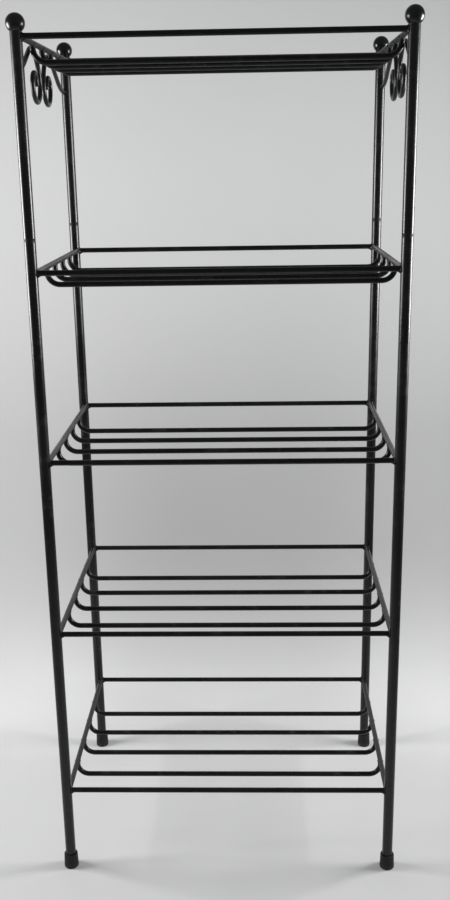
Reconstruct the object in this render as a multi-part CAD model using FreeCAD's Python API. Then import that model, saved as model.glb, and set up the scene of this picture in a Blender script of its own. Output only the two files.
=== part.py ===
import FreeCAD, Part
import math
import os

# Bakers rack: tube posts, dropped rod shelves, scroll rods, ball finials and rubber feet.
# Millimetres, +Z up, +X to the right and +Y to the back. The origin is on the floor, midway
# between the four posts.

# Plan and heights
POST_SPACING_X = 604.0      # between the post axes, left to right
POST_SPACING_Y = 420.0      # between the post axes, front to back
BOTTOM_SHELF_Z = 166.0      # rail axis of the lowest shelf, above the floor
BAY_HEIGHT = 321.0          # from shelf to shelf, up to the fourth
TOP_BAY_HEIGHT = 358.0      # from the fourth shelf to the top one
SHELF_NAMES = ("bottom", "second", "middle", "fourth", "top")

# Post tube and the slip joint inside it
POST_D = 19.0
POST_WALL = 1.2
POST_ABOVE_RAIL = 2.5       # end of the tube, above the top of the highest rails
JOINT_ABOVE_RAIL = 52.0     # slip joint, above the rail axis of the fourth shelf
JOINT_CHAMFER = 0.5         # on both tube ends, seen as a fine line round the post
SPIGOT_LENGTH = 80.0
SPIGOT_WALL = 1.5
SLIP_CLEARANCE = 0.15       # radial, between a tube and what slides into it

# Ball finial
BALL_D = 30.0
PLUG_LENGTH = 14.0

# Rubber foot
FOOT_HEIGHT = 28.0
FOOT_FLOOR = 4.0            # rubber under the end of the tube
FOOT_WALL = 3.0             # rubber round the tube, at the mouth
FOOT_FLARE = 1.0            # how far the base stands out past the mouth
FOOT_EDGE_R = 2.0           # rounding round the base
FOOT_LIP_R = 1.0            # rounding round the mouth
FOOT_CLEARANCE = 0.1        # radial, between foot and tube

# Rods of the shelves
RAIL_D = 9.5
END_BAR_D = 9.5
WIRE_D = 9.5
WIRES_PER_SHELF = 4
WIRE_PITCH = 75.0
WIRE_LEG = 3.25             # straight end of a wire, below the end bar
WIRE_BEND_R = 22.0

# Welds
WELD_GAP = 0.1              # between welded pieces, left to the weld
WELD_LENGTH = 9.0           # fillet under a rail's end, along the rail
WELD_DEPTH = 4.0            # how much deeper it is at the post than at its thin end
WELD_TIP_D = 4.0            # its thin end
WELD_BITE = 0.3             # how far the thin end runs into the rail

# Scroll rods beside the top shelf's end bars
SCROLL_D = 8.0
SCROLL_FORWARD = 10.0       # the pair's middle, ahead of the middle of the rack
CROWN_FROM_MIDDLE = 74.0    # top of the arch, from the middle of the pair
CROWN_DROP = 5.0            # top of the arch, below the end bar's axis
CROWN_R = 40.0              # bend from the top of the arch into the arm
ARM_SLOPE = 28.0            # in degrees
ARM_SWEEP_R = 120.0         # bend that brings the arm square to its post
ARCH_R = 58.0               # bend from the top of the arch down to the curl
ARCH_TURN = 80.0            # how far it turns, in degrees
HORN_R = 30.0               # lower bend of the curl
HORN_GAP = 19.0             # between the upper bend of the curl and the lower bend's inner side
HORN_TIP_TURN = 195.0       # upper bend of the curl, in degrees
TIP_ROUND = 1.5

# Values that follow from the sizes above
HALF_X = POST_SPACING_X / 2
HALF_Y = POST_SPACING_Y / 2
EQUAL_BAYS = len(SHELF_NAMES) - 2
SHELF_HEIGHTS = [BOTTOM_SHELF_Z + bay * BAY_HEIGHT for bay in range(EQUAL_BAYS + 1)]
JOINT_Z = SHELF_HEIGHTS[-1] + JOINT_ABOVE_RAIL
TOP_SHELF_Z = SHELF_HEIGHTS[-1] + TOP_BAY_HEIGHT
SHELF_HEIGHTS.append(TOP_SHELF_Z)
POST_R = POST_D / 2
POST_BORE_R = POST_R - POST_WALL
POST_TOP_Z = TOP_SHELF_Z + RAIL_D / 2 + POST_ABOVE_RAIL
BALL_R = BALL_D / 2
BALL_SEAT = math.sqrt(BALL_R ** 2 - POST_R ** 2)    # from the ball's centre down to the tube's end
END_BAR_X = HALF_X - (POST_D - END_BAR_D) / 2       # flush with the inside of the posts
SCROLL_X = END_BAR_X + (END_BAR_D + SCROLL_D) / 2 + WELD_GAP
HORN_TIP_R = HORN_R - (SCROLL_D + HORN_GAP) / 2
SIDES = {"left": -1, "right": 1}
DEPTHS = {"front": -1, "rear": 1}

V = FreeCAD.Vector
UP = V(0, 0, 1)


def save(node, shape):
    shape.exportStep(f"parts/{node}.step")


def on_post(side, depth, z):
    """Point on a post's axis."""
    return V(side * HALF_X, depth * HALF_Y, z)


def rod(start, end, diameter):
    run = end.sub(start)
    return Part.makeCylinder(diameter / 2, run.Length, start, run)


def turned(edges, base, axis=UP):
    """Solid of revolution about Z, set on its base; the profile lies in the plane of X and Z."""
    solid = Part.Face(Part.Wire(edges)).revolve(V(0, 0, 0), UP, 360)
    solid.Placement = FreeCAD.Placement(base, FreeCAD.Rotation(UP, axis))
    return solid


def outline(*points):
    """Straight profile edges through (radius, height) points."""
    corners = [V(radius, 0, height) for radius, height in points]
    return [Part.LineSegment(a, b).toShape() for a, b in zip(corners, corners[1:])]


def round_edge(centre, radius, start, end):
    """Profile arc about a (radius, height) centre, from one angle to another in degrees."""
    on_arc = []
    for angle in (start, (start + end) / 2, end):
        spoke = math.radians(angle)
        on_arc.append(V(centre[0] + radius * math.cos(spoke), 0, centre[1] + radius * math.sin(spoke)))
    return Part.Arc(*on_arc).toShape()


def bent(start, heading, moves):
    """Straights and bends of a rod in one plane, as a list of (kind, points) in (u, w).

    A move is ("straight", length) or ("bend", radius, degrees); a positive bend turns left.
    """
    u, w = start
    angle = math.radians(heading)
    steps = []
    for kind, size, *degrees in moves:
        points = [(u, w)]
        if kind == "straight":
            points.append((u + size * math.cos(angle), w + size * math.sin(angle)))
        else:
            turn = math.radians(degrees[0])
            hand = math.copysign(1, turn)
            centre_u = u - hand * size * math.sin(angle)
            centre_w = w + hand * size * math.cos(angle)
            for share in (0.5, 1):
                spoke = angle + turn * share - hand * math.pi / 2
                points.append((centre_u + size * math.cos(spoke), centre_w + size * math.sin(spoke)))
            angle += turn
        steps.append((kind, points))
        u, w = points[-1]
    return steps


def backwards(steps):
    return [(kind, points[::-1]) for kind, points in reversed(steps)]


def swept(steps, place, diameter):
    """Round rod along bent steps; place turns a (u, w) point into a place on the rack."""
    edges = []
    for kind, points in steps:
        places = [place(*point) for point in points]
        curve = Part.LineSegment(*places) if kind == "straight" else Part.Arc(*places)
        edges.append(curve.toShape())
    start = edges[0].valueAt(edges[0].FirstParameter)
    heading = edges[0].tangentAt(edges[0].FirstParameter)
    section = Part.Wire([Part.makeCircle(diameter / 2, start, heading)])
    return Part.Wire(edges).makePipeShell([section], True, False)


def post_space(side, depth):
    """What a post takes out of the pieces welded to it."""
    return Part.makeCylinder(POST_R + WELD_GAP, POST_TOP_Z, on_post(side, depth, 0))


def lower_post(side, depth):
    length = JOINT_Z - FOOT_FLOOR
    profile = outline((POST_BORE_R, 0), (POST_R, 0), (POST_R, length - JOINT_CHAMFER),
                      (POST_R - JOINT_CHAMFER, length), (POST_BORE_R, length), (POST_BORE_R, 0))
    return turned(profile, on_post(side, depth, FOOT_FLOOR))


def upper_post(side, depth):
    length = POST_TOP_Z - JOINT_Z
    profile = outline((POST_BORE_R, 0), (POST_R - JOINT_CHAMFER, 0), (POST_R, JOINT_CHAMFER),
                      (POST_R, length), (POST_BORE_R, length), (POST_BORE_R, 0))
    return turned(profile, on_post(side, depth, JOINT_Z))


def joint_spigot(side, depth):
    """Sleeve that the upper post slides over, half in each tube."""
    outer = POST_BORE_R - SLIP_CLEARANCE
    inner = outer - SPIGOT_WALL
    profile = outline((inner, 0), (outer, 0), (outer, SPIGOT_LENGTH), (inner, SPIGOT_LENGTH), (inner, 0))
    return turned(profile, on_post(side, depth, JOINT_Z - SPIGOT_LENGTH / 2))


def ball_finial(side, depth):
    """Ball with a flat seat on the tube's end and a plug inside the tube."""
    plug_r = POST_BORE_R - SLIP_CLEARANCE
    seat_angle = -math.degrees(math.asin(BALL_SEAT / BALL_R))
    profile = [round_edge((0, BALL_SEAT), BALL_R, 90, seat_angle)]
    profile += outline((POST_R, 0), (plug_r, 0), (plug_r, -PLUG_LENGTH), (0, -PLUG_LENGTH),
                       (0, BALL_SEAT + BALL_R))
    return turned(profile, on_post(side, depth, POST_TOP_Z))


def foot(side, depth):
    """Tapered rubber tip, pushed over the end of the tube."""
    bore_r = POST_R + FOOT_CLEARANCE
    lip_r = bore_r + FOOT_WALL
    base_r = lip_r + FOOT_FLARE
    lip_z = FOOT_HEIGHT - FOOT_LIP_R
    profile = outline((0, FOOT_FLOOR), (0, 0), (base_r - FOOT_EDGE_R, 0))
    profile.append(round_edge((base_r - FOOT_EDGE_R, FOOT_EDGE_R), FOOT_EDGE_R, -90, 0))
    profile += outline((base_r, FOOT_EDGE_R), (lip_r, lip_z))
    profile.append(round_edge((lip_r - FOOT_LIP_R, lip_z), FOOT_LIP_R, 0, 90))
    profile += outline((lip_r - FOOT_LIP_R, FOOT_HEIGHT), (bore_r, FOOT_HEIGHT), (bore_r, FOOT_FLOOR),
                       (0, FOOT_FLOOR))
    return turned(profile, on_post(side, depth, 0))


def weld_start(side, depth, z):
    """Where a weld fillet's axis leaves the post: below the rail's axis, so the weld is underneath."""
    return on_post(side, depth, z - RAIL_D / 2 + WELD_TIP_D / 2 + WELD_BITE)


def weld_fillet(side, depth, z):
    """Flare under a rail's end, deep at the post and hollow towards the rail."""
    tip_r = WELD_TIP_D / 2
    deep_r = tip_r + WELD_DEPTH
    tip = POST_R + WELD_LENGTH
    hollow_r = (WELD_LENGTH ** 2 + WELD_DEPTH ** 2) / (2 * WELD_DEPTH)
    sweep = math.degrees(math.atan2(WELD_LENGTH, hollow_r - WELD_DEPTH))
    profile = outline((tip_r, tip), (0, tip), (0, 0), (deep_r, 0), (deep_r, POST_R))
    profile.append(round_edge((tip_r + hollow_r, tip), hollow_r, 180 + sweep, 180))
    return turned(profile, weld_start(side, depth, z), V(-side, 0, 0))


def rail(depth, z):
    """Front or rear rail with its weld fillets, coped to its two posts."""
    shape = rod(on_post(-1, depth, z), on_post(1, depth, z), RAIL_D)
    for side in SIDES.values():
        shape = shape.fuse(weld_fillet(side, depth, z)).cut(post_space(side, depth))
    return shape.removeSplitter()


def end_bar(side, z):
    """Rod from front post to rear post, coped to the posts, the rails and their weld fillets."""
    x = side * END_BAR_X
    shape = rod(V(x, -HALF_Y, z), V(x, HALF_Y, z), END_BAR_D)
    inwards = V(-side * HALF_X, 0, 0)
    for depth in DEPTHS.values():
        rail_end = on_post(side, depth, z)
        weld = weld_start(side, depth, z)
        shape = shape.cut(post_space(side, depth))
        shape = shape.cut(rod(rail_end, rail_end.add(inwards), RAIL_D + 2 * WELD_GAP))
        shape = shape.cut(rod(weld, weld.add(inwards), WELD_TIP_D + 2 * (WELD_DEPTH + WELD_GAP)))
    return shape


def shelf_wires(z):
    """The deck: rods bent up at both ends, coped to the undersides of the end bars."""
    leg = END_BAR_D / 2 + WIRE_LEG
    deck = 2 * (END_BAR_X - WIRE_BEND_R)
    steps = bent((-END_BAR_X, z), -90, [("straight", leg), ("bend", WIRE_BEND_R, 90), ("straight", deck),
                                        ("bend", WIRE_BEND_R, 90), ("straight", leg)])
    wires = []
    for number in range(WIRES_PER_SHELF):
        y = (number - (WIRES_PER_SHELF - 1) / 2) * WIRE_PITCH

        def place(x, height):
            return V(x, y, height)

        wire = swept(steps, place, WIRE_D)
        for side in SIDES.values():
            x = side * END_BAR_X
            wire = wire.cut(rod(V(x, -HALF_Y, z), V(x, HALF_Y, z), END_BAR_D + 2 * WELD_GAP))
        wires.append(wire)
    return Part.makeCompound(wires)


def scroll(side, depth):
    """Rod from a post, up beside the end bar, over an arch and down into a ram's-horn curl.

    It is bent in one plane: u runs from the middle of the pair to the rod's own post, and w is up
    from the end bar's axis.
    """
    crown = (CROWN_FROM_MIDDLE, -CROWN_DROP)
    post_u = HALF_Y + depth * SCROLL_FORWARD
    slope = math.radians(ARM_SLOPE)
    bends_u = (CROWN_R + ARM_SWEEP_R) * math.sin(slope)
    straight_arm = (post_u - POST_R - CROWN_FROM_MIDDLE - bends_u) / math.cos(slope)
    arm = bent(crown, 0, [("bend", CROWN_R, -ARM_SLOPE), ("straight", straight_arm),
                          ("bend", ARM_SWEEP_R, ARM_SLOPE), ("straight", POST_R)])
    horn = bent(crown, 180, [("bend", ARCH_R, ARCH_TURN), ("bend", HORN_R, 270 - ARCH_TURN),
                             ("bend", HORN_TIP_R, HORN_TIP_TURN)])

    def place(u, w):
        return V(side * SCROLL_X, depth * u - SCROLL_FORWARD, TOP_SHELF_Z + w)

    shape = swept(backwards(horn) + arm, place, SCROLL_D)
    last_step = horn[-1][1]
    tip = place(*last_step[-1])
    tip_edge = min(shape.Edges, key=lambda edge: edge.CenterOfMass.distanceToPoint(tip))
    return shape.makeFillet(TIP_ROUND, [tip_edge]).cut(post_space(side, depth))


os.makedirs("parts", exist_ok=True)
for depth_name, depth in DEPTHS.items():
    for side_name, side in SIDES.items():
        corner = f"{depth_name}_{side_name}"
        for piece in (foot, lower_post, joint_spigot, upper_post, ball_finial, scroll):
            save(f"{corner}_{piece.__name__}", piece(side, depth))
for shelf, z in zip(SHELF_NAMES, SHELF_HEIGHTS):
    for depth_name, depth in DEPTHS.items():
        save(f"{shelf}_{depth_name}_rail", rail(depth, z))
    for side_name, side in SIDES.items():
        save(f"{shelf}_{side_name}_end_bar", end_bar(side, z))
    save(f"{shelf}_shelf_wires", shelf_wires(z))
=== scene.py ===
import math

import bmesh
import bpy
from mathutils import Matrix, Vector, noise


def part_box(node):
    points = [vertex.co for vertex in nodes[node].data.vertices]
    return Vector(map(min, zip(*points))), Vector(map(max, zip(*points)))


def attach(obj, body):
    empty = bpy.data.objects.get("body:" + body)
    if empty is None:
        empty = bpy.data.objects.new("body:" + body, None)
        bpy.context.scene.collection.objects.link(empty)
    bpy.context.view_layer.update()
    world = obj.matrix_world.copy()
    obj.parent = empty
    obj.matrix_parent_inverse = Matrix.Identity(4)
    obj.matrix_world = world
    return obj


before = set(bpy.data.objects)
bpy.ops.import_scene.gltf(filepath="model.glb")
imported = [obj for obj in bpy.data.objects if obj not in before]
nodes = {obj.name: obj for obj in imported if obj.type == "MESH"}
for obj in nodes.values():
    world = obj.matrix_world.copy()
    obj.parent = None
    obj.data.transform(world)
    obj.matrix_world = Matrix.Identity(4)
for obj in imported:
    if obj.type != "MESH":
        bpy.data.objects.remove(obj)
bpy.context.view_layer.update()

# Lower posts
# Round steel tube, cut to length and painted black with the shelves already welded to it.
# The paint is baked on: black, half glossy, with the faint orange peel of a sprayed coat.


def add(tree, kind, **settings):
    node = tree.nodes.new(kind)
    for name, value in settings.items():
        setattr(node, name, value)
    return node


def noise_node(tree, scale, detail):
    """Noise in the rack's own metres; scale is in lumps per metre, as a number or as a socket."""
    place = add(tree, "ShaderNodeTexCoord")
    cloud = add(tree, "ShaderNodeTexNoise")
    cloud.inputs["Detail"].default_value = detail
    if isinstance(scale, (int, float)):
        cloud.inputs["Scale"].default_value = scale
    else:
        tree.links.new(scale, cloud.inputs["Scale"])
    tree.links.new(place.outputs["Object"], cloud.inputs["Vector"])
    return cloud.outputs["Fac"]


def spread(tree, source, low, high, out_low=0.0, out_high=1.0):
    """The source's stretch from low to high, opened out to a new range and held at its ends."""
    ramp = add(tree, "ShaderNodeMapRange", interpolation_type="SMOOTHSTEP")
    for name, value in zip(("From Min", "From Max", "To Min", "To Max"), (low, high, out_low, out_high)):
        ramp.inputs[name].default_value = value
    tree.links.new(source, ramp.inputs["Value"])
    return ramp.outputs["Result"]


def sum_up(tree, operation, *values):
    """A Math node on sockets and plain numbers."""
    node = add(tree, "ShaderNodeMath", operation=operation)
    for socket, value in zip(node.inputs, values):
        if isinstance(value, (int, float)):
            socket.default_value = value
        else:
            tree.links.new(value, socket)
    return node.outputs["Value"]


def mixed_colour(tree, share, first, second):
    """Colour between two others; each is a socket or three plain numbers."""
    node = add(tree, "ShaderNodeMix", data_type="RGBA")
    for socket, value in zip((node.inputs[0], node.inputs[6], node.inputs[7]), (share, first, second)):
        if isinstance(value, tuple):
            socket.default_value = (*value, 1.0)
        else:
            tree.links.new(value, socket)
    return node.outputs[2]


def effect_group(name, inputs, outputs):
    """Empty shader group with named number sockets; gives the tree and its two end nodes."""
    tree = bpy.data.node_groups.new(name, "ShaderNodeTree")
    for label, value in inputs.items():
        socket = tree.interface.new_socket(label, in_out="INPUT", socket_type="NodeSocketFloat")
        socket.default_value = value
    for label in outputs:
        tree.interface.new_socket(label, in_out="OUTPUT", socket_type="NodeSocketFloat")
    return tree, add(tree, "NodeGroupInput"), add(tree, "NodeGroupOutput")


def place_group(tree, group, **values):
    node = add(tree, "ShaderNodeGroup", node_tree=group)
    for label, value in values.items():
        node.inputs[label].default_value = value
    return node


# Sprayed coat: orange peel with a finer grain on it, and slow drifts in the thickness of the coat.
GRAIN_SHARE = 0.35
DRIFTS_PER_METRE = 9.0
sprayed_coat, coat_in, coat_out = effect_group("sprayed_coat", {"Peel": 260.0, "Grain": 1500.0},
                                               ("Height", "Drift"))
peel = noise_node(sprayed_coat, coat_in.outputs["Peel"], 2.0)
grain = noise_node(sprayed_coat, coat_in.outputs["Grain"], 1.0)
coat_height = sum_up(sprayed_coat, "MULTIPLY_ADD", grain, GRAIN_SHARE, peel)
coat_drift = spread(sprayed_coat, noise_node(sprayed_coat, DRIFTS_PER_METRE, 3.0), 0.3, 0.7)
sprayed_coat.links.new(coat_height, coat_out.inputs["Height"])
sprayed_coat.links.new(coat_drift, coat_out.inputs["Drift"])

# House dust: lies on what faces up, in patches, with single specks in it.
DUST_PATCHES_PER_METRE = 22.0
DUST_SPECKS_PER_METRE = 1100.0
house_dust, dust_in, dust_out = effect_group("house_dust", {"Cover": 0.2}, ("Mask",))
surface = add(house_dust, "ShaderNodeNewGeometry")
facing = add(house_dust, "ShaderNodeSeparateXYZ")
house_dust.links.new(surface.outputs["Normal"], facing.inputs["Vector"])
upward = spread(house_dust, facing.outputs["Z"], 0.25, 1.0)
patches = spread(house_dust, noise_node(house_dust, DUST_PATCHES_PER_METRE, 4.0), 0.35, 0.7, 0.35, 1.0)
specks = spread(house_dust, noise_node(house_dust, DUST_SPECKS_PER_METRE, 2.0), 0.42, 0.68, 0.3, 1.0)
dust_mask = sum_up(house_dust, "MULTIPLY", upward, sum_up(house_dust, "MULTIPLY", patches, specks))
dust_mask = sum_up(house_dust, "MULTIPLY", dust_mask, dust_in.outputs["Cover"])
house_dust.links.new(dust_mask, dust_out.inputs["Mask"])

# Handling scuffs: dull, slightly paler rubs in the gloss, broken up by fine streaks.
RUBS_PER_METRE = 35.0
STREAKS_PER_METRE = 700.0
handling_scuffs, scuff_in, scuff_out = effect_group("handling_scuffs", {"Amount": 0.5}, ("Mask",))
rubs = spread(handling_scuffs, noise_node(handling_scuffs, RUBS_PER_METRE, 5.0), 0.54, 0.68)
streaks = spread(handling_scuffs, noise_node(handling_scuffs, STREAKS_PER_METRE, 3.0), 0.4, 0.62)
scuff_mask = sum_up(handling_scuffs, "MULTIPLY", rubs, streaks)
scuff_mask = sum_up(handling_scuffs, "MULTIPLY", scuff_mask, scuff_in.outputs["Amount"])
handling_scuffs.links.new(scuff_mask, scuff_out.inputs["Mask"])

PAINT_BLACK = (0.003, 0.003, 0.0034)
PAINT_THIN = (0.0055, 0.0055, 0.006)
DUST_GREY = (0.20, 0.19, 0.18)
SCUFF_GREY = (0.035, 0.035, 0.036)
SCUFF_DULLS = 0.25
DUST_DULLS = 0.5
PEEL_STRENGTH = 0.07
PEEL_HEIGHT = 0.0006


def black_paint(name, gloss, rough, shine, peel_size, dust, scuffs):
    """Baked black paint; gloss and rough are the roughness of its best and dullest patches.

    Shine is how strongly it mirrors what it faces: half is common for a clear hard coat.
    """
    material = bpy.data.materials.new(name)
    material.use_nodes = True
    tree = material.node_tree
    bsdf = tree.nodes["Principled BSDF"]
    bsdf.inputs["Specular IOR Level"].default_value = shine
    coat = place_group(tree, sprayed_coat, Peel=1 / peel_size)
    dusty = place_group(tree, house_dust, Cover=dust).outputs["Mask"]
    scuffed = place_group(tree, handling_scuffs, Amount=scuffs).outputs["Mask"]
    colour = mixed_colour(tree, coat.outputs["Drift"], PAINT_BLACK, PAINT_THIN)
    colour = mixed_colour(tree, scuffed, colour, SCUFF_GREY)
    colour = mixed_colour(tree, dusty, colour, DUST_GREY)
    tree.links.new(colour, bsdf.inputs["Base Color"])
    dullness = spread(tree, coat.outputs["Drift"], 0.0, 1.0, gloss, rough)
    dullness = sum_up(tree, "MULTIPLY_ADD", scuffed, SCUFF_DULLS, dullness)
    dullness = sum_up(tree, "MULTIPLY_ADD", dusty, DUST_DULLS, dullness)
    tree.links.new(dullness, bsdf.inputs["Roughness"])
    bump = add(tree, "ShaderNodeBump")
    bump.inputs["Strength"].default_value = PEEL_STRENGTH
    bump.inputs["Distance"].default_value = PEEL_HEIGHT
    tree.links.new(coat.outputs["Height"], bump.inputs["Height"])
    tree.links.new(bump.outputs["Normal"], bsdf.inputs["Normal"])
    return material


def dress(material, *names):
    """Gives pieces of the rack their finish."""
    for name in names:
        for slot in nodes[name].material_slots:
            slot.material = material


CORNERS = [f"{depth}_{side}" for depth in ("front", "rear") for side in ("left", "right")]
post_paint = black_paint("post_paint", gloss=0.22, rough=0.32, shine=0.4, peel_size=0.004,
                         dust=0.0, scuffs=0.5)
dress(post_paint, *[f"{corner}_lower_post" for corner in CORNERS])

# Shelf rails and end bars
# Straight steel rod, welded to the posts in a level rim: rails in front and behind, bars at the ends.
# A weld goes round each end, smoothed by the paint, with a flare left under the rails.

SHELVES = ("bottom", "second", "middle", "fourth", "top")
rim_paint = black_paint("rim_paint", gloss=0.25, rough=0.36, shine=0.26, peel_size=0.0035,
                        dust=0.04, scuffs=0.5)
bar_paint = black_paint("bar_paint", gloss=0.25, rough=0.36, shine=0.5, peel_size=0.0035,
                        dust=0.14, scuffs=0.5)
for shelf in SHELVES:
    dress(rim_paint, f"{shelf}_front_rail", f"{shelf}_rear_rail")
    dress(bar_paint, f"{shelf}_left_end_bar", f"{shelf}_right_end_bar")


def dull_more(material, mask, amount):
    """Makes a paint rougher where the mask is set."""
    tree = material.node_tree
    roughness = tree.nodes["Principled BSDF"].inputs["Roughness"]
    plain = roughness.links[0].from_socket
    tree.links.new(sum_up(tree, "MULTIPLY_ADD", mask, amount, plain), roughness)


# Dry spray: under the end bars, between the wires, only the edge of the spray arrives, and it dries rough.
DRY_SPRAY_DULLS = 0.5
DRY_PATCHES_PER_METRE = 180.0
tree = bar_paint.node_tree
surface = add(tree, "ShaderNodeNewGeometry")
facing = add(tree, "ShaderNodeSeparateXYZ")
tree.links.new(surface.outputs["Normal"], facing.inputs["Vector"])
underside = spread(tree, facing.outputs["Z"], -0.2, 0.5, 1.0, 0.0)
dry_patches = spread(tree, noise_node(tree, DRY_PATCHES_PER_METRE, 3.0), 0.35, 0.6, 0.6, 1.0)
dull_more(bar_paint, sum_up(tree, "MULTIPLY", underside, dry_patches), DRY_SPRAY_DULLS)

BEAD_R = 0.0012
BEAD_STEPS = 48
BEAD_SIDES = 10
BEAD_RIPPLES = 11
BEAD_RIPPLE = 0.12
BEAD_LUMP = 0.25
LUMPS_PER_METRE = 350
GRAZE = 0.1


def middle(name):
    low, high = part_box(name)
    return (low + high) / 2


def reach(start, way, other):
    """How far a line runs before it meets another round piece, given as its point, direction and radius.

    A line that only grazes the piece, as at the sides of a rod of the same width, meets it at its middle.
    """
    point, axis, radius = other
    off = start - point
    off -= off.dot(axis) * axis
    pace = way - way.dot(axis) * axis
    half = off.dot(pace)
    inside = half * half - pace.length_squared * (off.length_squared - radius * radius)
    if inside < -GRAZE * radius * radius:
        return math.inf
    return (-half - math.sqrt(max(inside, 0.0))) / pace.length_squared


def weld_bead(beads, rod_point, way, rod_r, *others):
    """Ring of weld round a rod's end, along the line where the rod meets the other pieces."""
    side = way.orthogonal().normalized()
    top = way.cross(side)
    line = []
    for step in range(BEAD_STEPS):
        turn = 2 * math.pi * step / BEAD_STEPS
        out = math.cos(turn) * side + math.sin(turn) * top
        start = rod_point + rod_r * out
        line.append((start + min(reach(start, way, other) for other in others) * way, out))
    rings = []
    for step, (point, out) in enumerate(line):
        along = (line[(step + 1) % BEAD_STEPS][0] - line[step - 1][0]).normalized()
        across = along.cross(out).normalized()
        ripple = BEAD_RIPPLE * math.cos(2 * math.pi * BEAD_RIPPLES * step / BEAD_STEPS)
        lump = BEAD_LUMP * noise.noise(LUMPS_PER_METRE * point)
        radius = BEAD_R * (1 + ripple + lump)
        ring = []
        for corner in range(BEAD_SIDES):
            turn = 2 * math.pi * corner / BEAD_SIDES
            ring.append(beads.verts.new(point + radius * (math.cos(turn) * out + math.sin(turn) * across)))
        rings.append(ring)
    for step in range(BEAD_STEPS):
        here, there = rings[step - 1], rings[step]
        for corner in range(BEAD_SIDES):
            beads.faces.new((here[corner - 1], here[corner], there[corner], there[corner - 1]))


def finish_beads(beads, name, material):
    """Turns a batch of welds into a piece of the rack."""
    bmesh.ops.recalc_face_normals(beads, faces=beads.faces)
    for face in beads.faces:
        face.smooth = True
    mesh = bpy.data.meshes.new(name)
    beads.to_mesh(mesh)
    beads.free()
    mesh.materials.append(material)
    piece = bpy.data.objects.new(name, mesh)
    bpy.context.scene.collection.objects.link(piece)
    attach(piece, "root")


UP = Vector((0, 0, 1))
RIGHT = Vector((1, 0, 0))
BACK = Vector((0, 1, 0))
posts = {}
for corner in CORNERS:
    low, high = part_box(f"{corner}_lower_post")
    posts[corner] = ((low + high) / 2, UP, (high.x - low.x) / 2)
weld_paint = black_paint("weld_paint", gloss=0.3, rough=0.45, shine=0.3, peel_size=0.0016,
                         dust=0.06, scuffs=0.8)

for shelf in SHELVES:
    beads = bmesh.new()
    bar_low, bar_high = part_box(f"{shelf}_right_end_bar")
    bar_r = (bar_high.z - bar_low.z) / 2
    rim_z = middle(f"{shelf}_right_end_bar").z
    rail_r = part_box(f"{shelf}_front_rail")[1].z - rim_z
    for corner in CORNERS:
        depth, side = corner.split("_")
        post = posts[corner]
        rail_middle = Vector((0, post[0].y, rim_z))
        outwards = math.copysign(1, post[0].x) * RIGHT
        weld_bead(beads, rail_middle, outwards, rail_r, post)
        bar_middle = middle(f"{shelf}_{side}_end_bar")
        away = math.copysign(1, post[0].y) * BACK
        weld_bead(beads, bar_middle, away, bar_r, post, (rail_middle, RIGHT, rail_r))
    finish_beads(beads, f"{shelf}_rim_welds", weld_paint)

# Shelf wires
# Four long rods to a shelf, bent up at both ends and welded under the end bars, so that the deck hangs
# below the rim. Their tops are rubbed by what is slid on and off.

WIRES = 4
wire_paint = black_paint("wire_paint", gloss=0.25, rough=0.38, shine=0.26, peel_size=0.0035,
                         dust=0.035, scuffs=0.7)
for shelf in SHELVES:
    dress(wire_paint, f"{shelf}_shelf_wires")
    beads = bmesh.new()
    low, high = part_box(f"{shelf}_shelf_wires")
    for side in ("left", "right"):
        bar = middle(f"{shelf}_{side}_end_bar")
        bar_low, bar_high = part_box(f"{shelf}_{side}_end_bar")
        bar_r = (bar_high.z - bar_low.z) / 2
        wire_r = high.x - abs(bar.x)
        pitch = (high.y - low.y - 2 * wire_r) / (WIRES - 1)
        for number in range(WIRES):
            leg = Vector((bar.x, low.y + wire_r + number * pitch, low.z))
            weld_bead(beads, leg, UP, wire_r, (bar, BACK, bar_r))
    finish_beads(beads, f"{shelf}_wire_welds", weld_paint)

# Rubber feet
# Tapered black rubber tips, moulded in one piece each and pushed over the ends of the tubes. The rubber has
# a grey bloom, and floor dust sticks to it round the base.

foot_rubber = bpy.data.materials.new("foot_rubber")
foot_rubber.use_nodes = True
tree = foot_rubber.node_tree
bsdf = tree.nodes["Principled BSDF"]
RUBBER_BLACK = (0.007, 0.007, 0.007)
RUBBER_BLOOM = (0.016, 0.0155, 0.015)
RUBBER_SHINE = 0.3
BLOOMS_PER_METRE = 120.0
FLOOR_DUST_TOP = 0.012
FLOOR_DUST_COVER = 0.2
FLOOR_SPECKS_PER_METRE = 500.0
RUBBER_GRAINS_PER_METRE = 1400.0
RUBBER_GRAIN_STRENGTH = 0.25
RUBBER_GRAIN_HEIGHT = 0.0004
bsdf.inputs["Specular IOR Level"].default_value = RUBBER_SHINE
bloom = spread(tree, noise_node(tree, BLOOMS_PER_METRE, 4.0), 0.35, 0.7)
place = add(tree, "ShaderNodeTexCoord")
height = add(tree, "ShaderNodeSeparateXYZ")
tree.links.new(place.outputs["Object"], height.inputs["Vector"])
floor_dust = spread(tree, height.outputs["Z"], 0.0, FLOOR_DUST_TOP, FLOOR_DUST_COVER, 0.0)
floor_specks = spread(tree, noise_node(tree, FLOOR_SPECKS_PER_METRE, 3.0), 0.35, 0.65)
floor_dust = sum_up(tree, "MULTIPLY", floor_dust, floor_specks)
colour = mixed_colour(tree, bloom, RUBBER_BLACK, RUBBER_BLOOM)
colour = mixed_colour(tree, floor_dust, colour, DUST_GREY)
tree.links.new(colour, bsdf.inputs["Base Color"])
tree.links.new(spread(tree, bloom, 0.0, 1.0, 0.55, 0.75), bsdf.inputs["Roughness"])
bump = add(tree, "ShaderNodeBump")
bump.inputs["Strength"].default_value = RUBBER_GRAIN_STRENGTH
bump.inputs["Distance"].default_value = RUBBER_GRAIN_HEIGHT
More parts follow.
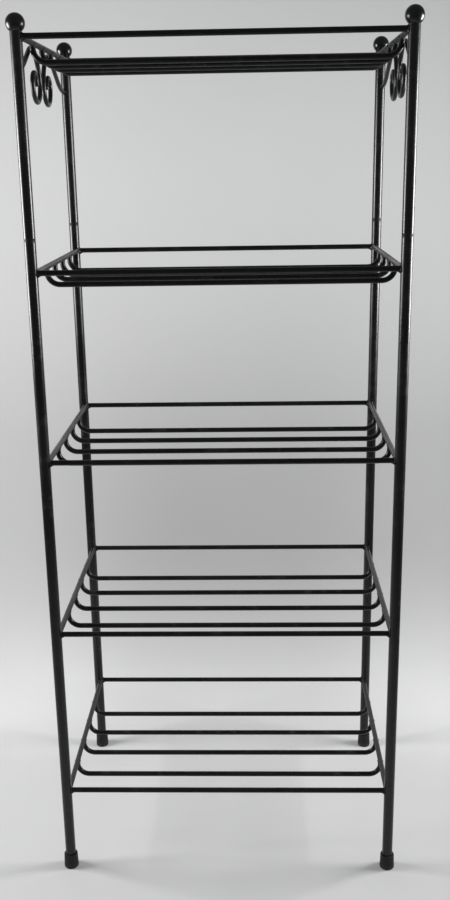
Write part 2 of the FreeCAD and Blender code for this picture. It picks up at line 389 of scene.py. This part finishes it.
tree.links.new(noise_node(tree, RUBBER_GRAINS_PER_METRE, 2.0), bump.inputs["Height"])
tree.links.new(bump.outputs["Normal"], bsdf.inputs["Normal"])
dress(foot_rubber, *[f"{corner}_foot" for corner in CORNERS])

# Joint spigots and upper posts
# Sleeves of bare drawn steel inside the tubes join the upper posts to the lower ones. The upper posts are
# the same painted tube, with a fine line round the post where the two tubes meet.

spigot_steel = bpy.data.materials.new("spigot_steel")
spigot_steel.use_nodes = True
tree = spigot_steel.node_tree
bsdf = tree.nodes["Principled BSDF"]
STEEL_PALE = (0.42, 0.41, 0.40)
STEEL_DARK = (0.27, 0.26, 0.26)
DRAW_MARKS_PER_METRE = 800.0
drawn = noise_node(tree, DRAW_MARKS_PER_METRE, 3.0)
tree.links.new(mixed_colour(tree, drawn, STEEL_PALE, STEEL_DARK), bsdf.inputs["Base Color"])
tree.links.new(spread(tree, drawn, 0.3, 0.7, 0.3, 0.5), bsdf.inputs["Roughness"])
bsdf.inputs["Metallic"].default_value = 1.0
dress(spigot_steel, *[f"{corner}_joint_spigot" for corner in CORNERS])
dress(post_paint, *[f"{corner}_upper_post" for corner in CORNERS])

# Joint ring: the paint dips where the rounded ends of the tubes meet, and is dull from handling there.
RING_REACH = 0.004
RING_DEPTH = 0.0007
RING_DULLS = 0.25
RING_RUBS_PER_METRE = 250.0
ring_sizes = {"Level": 0.0, "Reach": RING_REACH}
joint_ring, ring_in, ring_out = effect_group("joint_ring", ring_sizes, ("Height", "Mask"))
place = add(joint_ring, "ShaderNodeTexCoord")
along = add(joint_ring, "ShaderNodeSeparateXYZ")
joint_ring.links.new(place.outputs["Object"], along.inputs["Vector"])
above = sum_up(joint_ring, "SUBTRACT", along.outputs["Z"], ring_in.outputs["Level"])
away = sum_up(joint_ring, "DIVIDE", sum_up(joint_ring, "ABSOLUTE", above), ring_in.outputs["Reach"])
ring_rub = sum_up(joint_ring, "MULTIPLY", spread(joint_ring, away, 0.3, 1.3, 1.0, 0.0),
                  spread(joint_ring, noise_node(joint_ring, RING_RUBS_PER_METRE, 3.0), 0.35, 0.6, 0.4, 1.0))
joint_ring.links.new(spread(joint_ring, away, 0.0, 1.0), ring_out.inputs["Height"])
joint_ring.links.new(ring_rub, ring_out.inputs["Mask"])

tree = post_paint.node_tree
ring = place_group(tree, joint_ring, Level=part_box("front_left_lower_post")[1].z, Reach=RING_REACH)
dull_more(post_paint, ring.outputs["Mask"], RING_DULLS)
dip = add(tree, "ShaderNodeBump")
dip.inputs["Strength"].default_value = 1.0
dip.inputs["Distance"].default_value = RING_DEPTH
tree.links.new(ring.outputs["Height"], dip.inputs["Height"])
tree.links.new(dip.outputs["Normal"], tree.nodes["Bump"].inputs["Normal"])

# Scroll rods
# Thinner rod bent cold on a former, one from each post: up to the end bar, over an arch and down into a
# ram's-horn curl. Each is welded to its post and tacked to the end bar at the top of the arch.

scroll_paint = black_paint("scroll_paint", gloss=0.22, rough=0.34, shine=0.34, peel_size=0.0035,
                           dust=0.04, scuffs=0.4)
dress(scroll_paint, *[f"{corner}_scroll" for corner in CORNERS])

TACK_LENGTH = 0.015
TACK_R = 0.0023
TACK_STEPS = 16
TACK_BLUNT_END = 0.98


def tack_weld(beads, centre, along):
    """Short lumpy run of weld, tapering to both ends."""
    side = along.orthogonal().normalized()
    top = along.cross(side)
    rings = []
    for step in range(TACK_STEPS + 1):
        share = TACK_BLUNT_END * (2 * step / TACK_STEPS - 1)
        point = centre + TACK_LENGTH / 2 * share * along
        lump = BEAD_LUMP * noise.noise(LUMPS_PER_METRE * point)
        radius = TACK_R * math.sqrt(1 - share * share) * (1 + lump)
        ring = []
        for corner in range(BEAD_SIDES):
            turn = 2 * math.pi * corner / BEAD_SIDES
            ring.append(beads.verts.new(point + radius * (math.cos(turn) * side + math.sin(turn) * top)))
        rings.append(ring)
    for here, there in zip(rings, rings[1:]):
        for corner in range(BEAD_SIDES):
            beads.faces.new((here[corner - 1], here[corner], there[corner], there[corner - 1]))
    beads.faces.new(rings[0])
    beads.faces.new(rings[-1])


beads = bmesh.new()
for corner in CORNERS:
    side = corner.split("_")[1]
    low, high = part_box(f"{corner}_scroll")
    rod_r = (high.x - low.x) / 2
    surface_points = [vertex.co for vertex in nodes[f"{corner}_scroll"].data.vertices]
    arm_end = max(surface_points, key=lambda point: abs(point.y))
    arm = Vector((low.x + rod_r, 0, arm_end.z))
    weld_bead(beads, arm, math.copysign(1, arm_end.y) * BACK, rod_r, posts[corner])
    crown = max(surface_points, key=lambda point: point.z)
    bar = middle(f"top_{side}_end_bar")
    bar_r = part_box(f"top_{side}_end_bar")[1].z - bar.z
    across = Vector((low.x + rod_r - bar.x, 0, high.z - rod_r - bar.z))
    gap = across.length - bar_r - rod_r
    tack = Vector((bar.x, crown.y, bar.z)) + (bar_r + gap / 2) * across.normalized()
    tack_weld(beads, tack, BACK)
finish_beads(beads, "scroll_welds", weld_paint)

# Ball finials
# Solid steel balls on plugs, pushed into the tops of the posts. They carry the smoothest and glossiest
# paint on the rack.

ball_paint = black_paint("ball_paint", gloss=0.16, rough=0.26, shine=0.42, peel_size=0.004,
                         dust=0.03, scuffs=0.3)
dress(ball_paint, *[f"{corner}_ball_finial" for corner in CORNERS])

# Floor and backdrop
# One sheet of pale grey paper: flat under the rack, up in a wide curve behind it, then a wall. The flat
# floor also runs on behind the wall, which is clear from the back.

FLOOR_FRONT = -12.0
COVE_START = 0.6
COVE_R = 0.5
WALL_TOP = 5.0
SHEET_HALF_WIDTH = 8.0
COVE_STEPS = 24
FLOOR_BACK = 12.0
PAPER_FLOOR = (0.635, 0.64, 0.635)
# Painted light: the floor beside and behind the rack is painted paler, where the softboxes light it.
PAPER_FLOOR_PAINTED_LIGHT = (0.80, 0.805, 0.80)
# Painted shade: the middle of the cove and the foot of the wall are painted darker, where less light
# reaches.
PAPER_COVE_PAINTED_SHADE = (0.39, 0.395, 0.39)
# Painted light and shade: the cove's sides and the wall are painted paler on the left and darker on the
# right, as the light falls.
PAPER_SIDE_LEFT_PAINTED_LIGHT = (0.64, 0.645, 0.64)
PAPER_SIDE_RIGHT_PAINTED_LIGHT = (0.55, 0.555, 0.55)
PAPER_WALL_LEFT_PAINTED_LIGHT = (0.64, 0.645, 0.64)
PAPER_WALL_RIGHT_PAINTED_SHADE = (0.49, 0.495, 0.495)
PAPER_ROUGH = 0.9
PAPER_SHINE = 0.2
MOTTLES_PER_METRE = 1.5
MOTTLE = 0.12
SHADE_FROM_Y, SHADE_TO_Y = 0.5, 1.05
WALL_FROM_Z, WALL_TO_Z = 0.05, 1.4
SIDES_FROM_X, SIDES_TO_X = 0.1, 0.9
FLOOR_SIDES_FROM_X, FLOOR_SIDES_TO_X = 0.15, 0.6
FLOOR_SIDES_FROM_Y, FLOOR_SIDES_TO_Y = 0.0, 0.4
LEFT_X, RIGHT_X = -1.1, 0.9

profile = [(FLOOR_FRONT, 0.0)]
for step in range(COVE_STEPS + 1):
    turn = math.pi / 2 * step / COVE_STEPS
    profile.append((COVE_START + COVE_R * math.sin(turn), COVE_R * (1 - math.cos(turn))))
profile.append((COVE_START + COVE_R, WALL_TOP))
sheet = bmesh.new()
edges = []
for x in (-SHEET_HALF_WIDTH, SHEET_HALF_WIDTH):
    edges.append([sheet.verts.new((x, y, z)) for y, z in profile])
for here in range(len(profile) - 1):
    corners = (edges[0][here], edges[1][here], edges[1][here + 1], edges[0][here + 1])
    sheet.faces.new(corners).smooth = True
back_floor = [sheet.verts.new((x, FLOOR_BACK, 0.0)) for x in (-SHEET_HALF_WIDTH, SHEET_HALF_WIDTH)]
sheet.faces.new((edges[0][1], edges[1][1], back_floor[1], back_floor[0]))
paper_mesh = bpy.data.meshes.new("paper_sheet")
sheet.to_mesh(paper_mesh)
sheet.free()
paper = bpy.data.materials.new("backdrop_paper")
paper.use_nodes = True
tree = paper.node_tree
bsdf = tree.nodes["Principled BSDF"]
bsdf.inputs["Roughness"].default_value = PAPER_ROUGH
bsdf.inputs["Specular IOR Level"].default_value = PAPER_SHINE
place = add(tree, "ShaderNodeTexCoord")
spot = add(tree, "ShaderNodeSeparateXYZ")
tree.links.new(place.outputs["Object"], spot.inputs["Vector"])
mottle = spread(tree, noise_node(tree, MOTTLES_PER_METRE, 3.0), 0.0, 1.0, -MOTTLE, MOTTLE)
behind = sum_up(tree, "ADD", spread(tree, spot.outputs["Y"], SHADE_FROM_Y, SHADE_TO_Y), mottle)
raised = sum_up(tree, "ADD", spread(tree, spot.outputs["Z"], WALL_FROM_Z, WALL_TO_Z), mottle)
from_middle = sum_up(tree, "ABSOLUTE", spot.outputs["X"])
# Painted light and shade: the cove's sides and the wall are painted darker from left to right.
painted_falloff_rightward = spread(tree, spot.outputs["X"], LEFT_X, RIGHT_X)
# Painted light: the floor is painted paler beside and behind the rack.
floor_painted_light_share = sum_up(tree, "MULTIPLY", spread(tree, from_middle, FLOOR_SIDES_FROM_X, FLOOR_SIDES_TO_X),
                     spread(tree, spot.outputs["Y"], FLOOR_SIDES_FROM_Y, FLOOR_SIDES_TO_Y))
floor = mixed_colour(tree, floor_painted_light_share, PAPER_FLOOR, PAPER_FLOOR_PAINTED_LIGHT)
sides = mixed_colour(tree, painted_falloff_rightward, PAPER_SIDE_LEFT_PAINTED_LIGHT, PAPER_SIDE_RIGHT_PAINTED_LIGHT)
# Painted shade: the paper is painted darker going back into the cove, most in the cove's middle and low on
# the wall.
cove_painted_shade = mixed_colour(tree, spread(tree, from_middle, SIDES_FROM_X, SIDES_TO_X), PAPER_COVE_PAINTED_SHADE, sides)
colour = mixed_colour(tree, behind, floor, cove_painted_shade)
wall = mixed_colour(tree, painted_falloff_rightward, PAPER_WALL_LEFT_PAINTED_LIGHT, PAPER_WALL_RIGHT_PAINTED_SHADE)
tree.links.new(mixed_colour(tree, raised, colour, wall), bsdf.inputs["Base Color"])
surface = add(tree, "ShaderNodeNewGeometry")
clear = add(tree, "ShaderNodeBsdfTransparent")
one_sided = add(tree, "ShaderNodeMixShader")
tree.links.new(surface.outputs["Backfacing"], one_sided.inputs[0])
tree.links.new(bsdf.outputs["BSDF"], one_sided.inputs[1])
tree.links.new(clear.outputs["BSDF"], one_sided.inputs[2])
tree.links.new(one_sided.outputs["Shader"], tree.nodes["Material Output"].inputs["Surface"])
paper_mesh.materials.append(paper)
backdrop = bpy.data.objects.new("paper_sheet", paper_mesh)
bpy.context.scene.collection.objects.link(backdrop)

# Studio light
# A softbox on each side of the rack, level with its middle and as high as its upper half, and a dim room
# all round.

SOFTBOX_DEEP = 0.65
SOFTBOX_TALL = 0.70
SOFTBOXES = {
    "left_softbox": (Vector((-1.45, -0.1, 1.16)), 27.0, 170),
    "right_softbox": (Vector((1.45, 0.05, 1.16)), 26.0, 150),
}
for name, (place, watts, spread_angle) in SOFTBOXES.items():
    lamp = bpy.data.lights.new(name, "AREA")
    lamp.shape = "RECTANGLE"
    lamp.size = SOFTBOX_DEEP
    lamp.size_y = SOFTBOX_TALL
    lamp.energy = watts
    lamp.spread = math.radians(spread_angle)
    softbox = bpy.data.objects.new(name, lamp)
    softbox.location = place
    softbox.rotation_euler = Vector((-place.x, 0, 0)).to_track_quat("-Z", "Y").to_euler()
    softbox.visible_camera = False
    bpy.context.scene.collection.objects.link(softbox)

ROOM_GREY = (0.21, 0.21, 0.215)
room = bpy.data.worlds.new("room")
room.use_nodes = True
room.node_tree.nodes["Background"].inputs["Color"].default_value = (*ROOM_GREY, 1.0)
bpy.context.scene.world = room
bpy.context.scene.view_settings.view_transform = "Standard"

# Camera
# In front of the rack, level with its fourth bay and a little to the right of its middle, looking down.

SENSOR_MM = 36.0
LENS_MM = 40.75
CAMERA_PLACE = (0.0567, -1.8666, 1.3052)
CAMERA_TURN = (73.955, 0.9, 1.487)
camera = bpy.data.cameras.new("camera")
camera.sensor_width = SENSOR_MM
camera.lens = LENS_MM
viewer = bpy.data.objects.new("camera", camera)
viewer.location = CAMERA_PLACE
viewer.rotation_euler = [math.radians(turn) for turn in CAMERA_TURN]
bpy.context.scene.collection.objects.link(viewer)
bpy.context.scene.camera = viewer
